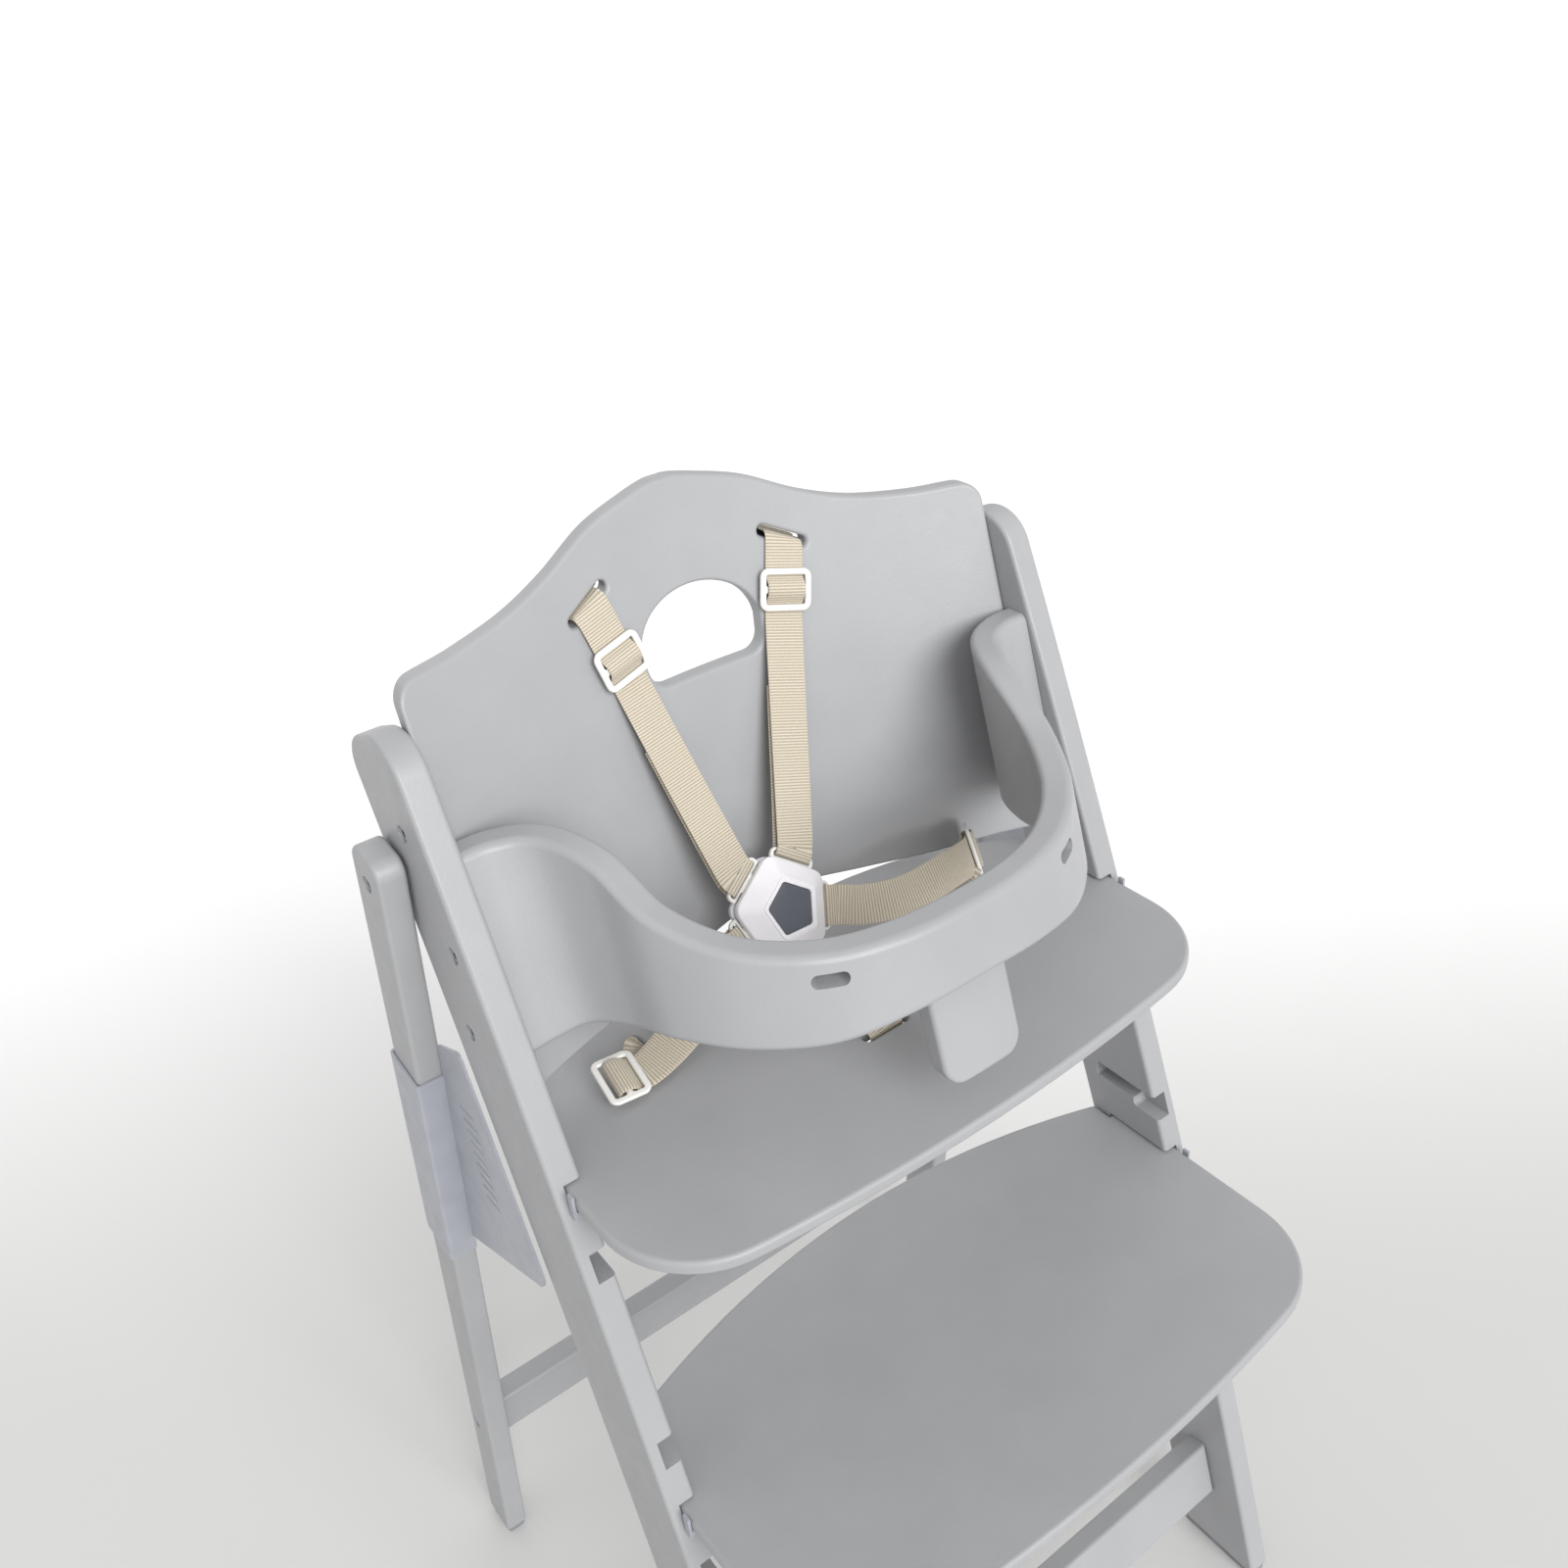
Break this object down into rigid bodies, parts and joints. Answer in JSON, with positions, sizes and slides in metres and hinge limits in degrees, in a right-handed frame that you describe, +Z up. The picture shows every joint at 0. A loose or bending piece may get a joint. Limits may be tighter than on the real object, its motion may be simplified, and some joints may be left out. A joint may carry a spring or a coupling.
{
  "type": "high chair",
  "caption": "Folding wooden high chair with curved backrest, bent front guard, crotch post, grooved-in seat and footrest, and a five-point webbing harness.",
  "frame": {"origin": "on the floor, at the centre of the bounding box's base", "axes": "+Z up, -Y the way the child faces, +X to the right of someone who stands in front and looks at the chair"},
  "size_m": [0.4768, 0.4688, 0.863],
  "materials": {
    "painted_beech": "satin light grey lacquer",
    "cream_webbing": "ribbed polyester webbing",
    "white_acetal": "white, lightly glossy",
    "buckle_grey_plastic": "pale grey, satin",
    "badge_dark_plastic": "dark grey, matte",
    "clear_polycarbonate": "clear",
    "zinc_plated_steel": "zinc plated",
    "pad_grey_plastic": "matte"
  },
  "bodies": {
    "frame": {"anchor_pin_crotch": "zinc_plated_steel", "anchor_pin_left_shoulder": "zinc_plated_steel", "anchor_pin_left_waist": "zinc_plated_steel", "anchor_pin_right_shoulder": "zinc_plated_steel", "anchor_pin_right_waist": "zinc_plated_steel", "backrest": "painted_beech", "backrest_bolt_lower_left": "zinc_plated_steel", "backrest_bolt_lower_right": "zinc_plated_steel", "backrest_bolt_upper_left": "zinc_plated_steel", "backrest_bolt_upper_right": "zinc_plated_steel", "buckle_back_cover": "buckle_grey_plastic", "buckle_front_cover": "buckle_grey_plastic", "buckle_spring": "zinc_plated_steel", "crotch_post": "painted_beech", "front_cross_rail": "painted_beech", "front_foot_pad_left": "pad_grey_plastic", "front_foot_pad_right": "pad_grey_plastic", "front_guard": "painted_beech", "front_leg_left": "painted_beech", "front_leg_right": "painted_beech", "front_rail_bolt_left": "zinc_plated_steel", "front_rail_bolt_right": "zinc_plated_steel", "guard_bolt_left": "zinc_plated_steel", "guard_bolt_right": "zinc_plated_steel", "pivot_bolt_left": "zinc_plated_steel", "pivot_bolt_right": "zinc_plated_steel", "pivot_washer_left": "white_acetal", "pivot_washer_right": "white_acetal", "seat_board": "painted_beech", "slider_left_shoulder": "white_acetal", "slider_left_waist": "white_acetal", "slider_right_shoulder": "white_acetal", "slider_right_waist": "white_acetal", "strap_crotch": "cream_webbing", "strap_left_shoulder": "cream_webbing", "strap_left_waist": "cream_webbing", "strap_right_shoulder": "cream_webbing", "strap_right_waist": "cream_webbing", "tongue_crotch": "white_acetal", "tongue_left_shoulder": "white_acetal", "tongue_left_waist": "white_acetal", "tongue_right_shoulder": "white_acetal", "tongue_right_waist": "white_acetal"},
    "rear_frame": {"fold_guard_left": "clear_polycarbonate", "fold_guard_right": "clear_polycarbonate", "rear_cross_rail": "painted_beech", "rear_foot_pad_left": "pad_grey_plastic", "rear_foot_pad_right": "pad_grey_plastic", "rear_leg_left": "painted_beech", "rear_leg_right": "painted_beech", "rear_rail_bolt_left": "zinc_plated_steel", "rear_rail_bolt_right": "zinc_plated_steel"},
    "footrest": {"footrest_board": "painted_beech"},
    "buckle_button": {"buckle_button": "badge_dark_plastic"},
    "footrest_catch_left": {"footrest_catch_left": "clear_polycarbonate"},
    "footrest_catch_right": {"footrest_catch_right": "clear_polycarbonate"},
    "seat_catch_left": {"seat_catch_left": "clear_polycarbonate"},
    "seat_catch_right": {"seat_catch_right": "clear_polycarbonate"}
  },
  "joints": [
    {"name": "rear_frame_fold", "type": "hinge", "parent": "frame", "child": "rear_frame", "pos_m": [0, 0.10319, 0.7155], "axis": [-1, 0, 0], "range_deg": [0, 25]},
    {"name": "footrest_slide", "type": "slide", "parent": "frame", "child": "footrest", "axis": [0, -1, 0], "range_m": [0, 0.055]},
    {"name": "button_press", "type": "slide", "parent": "frame", "child": "buckle_button", "axis": [-0.0306, 0.8766, -0.4802], "range_m": [0, 0.0018], "stiffness_N_per_m": 900, "springref_m": -0.001},
    {"name": "footrest_catch_left_slide", "type": "slide", "parent": "footrest", "child": "footrest_catch_left", "axis": [0, -1, 0], "range_m": [0, 0.018]},
    {"name": "footrest_catch_right_slide", "type": "slide", "parent": "footrest", "child": "footrest_catch_right", "axis": [0, -1, 0], "range_m": [0, 0.018]},
    {"name": "seat_catch_left_slide", "type": "slide", "parent": "frame", "child": "seat_catch_left", "axis": [0, -1, 0], "range_m": [0, 0.018]},
    {"name": "seat_catch_right_slide", "type": "slide", "parent": "frame", "child": "seat_catch_right", "axis": [0, -1, 0], "range_m": [0, 0.018]}
  ]
}
